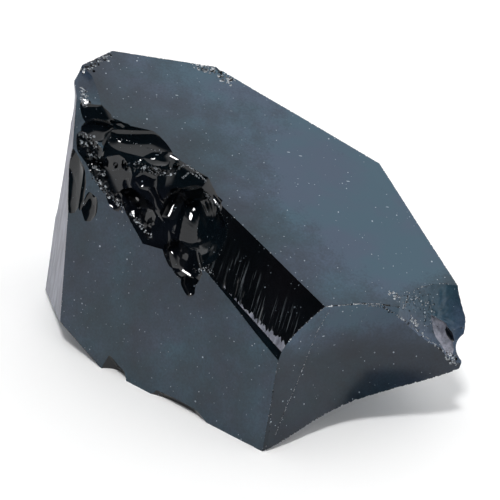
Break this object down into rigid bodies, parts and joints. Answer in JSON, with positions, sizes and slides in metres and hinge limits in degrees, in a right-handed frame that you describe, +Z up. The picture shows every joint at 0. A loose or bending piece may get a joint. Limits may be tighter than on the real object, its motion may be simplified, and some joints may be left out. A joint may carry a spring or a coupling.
{
  "type": "obsidian chunk",
  "caption": "Broken lump of black volcanic glass with flat fracture faces, a glossy chipped band and shell-like scars; rests on its flat underside.",
  "frame": {"origin": "on the surface the lump stands on, under the middle of its bounding box", "axes": "+Z up, +X to the right along the lump's longest extent, +Y away from the side with the glossy band"},
  "size_m": [0.0716, 0.0632, 0.0432],
  "materials": {
    "obsidian": "glossy volcanic glass, dulled by dust on its broad faces"
  },
  "bodies": {
    "root": {"obsidian_chunk": "obsidian"}
  },
  "joints": []
}
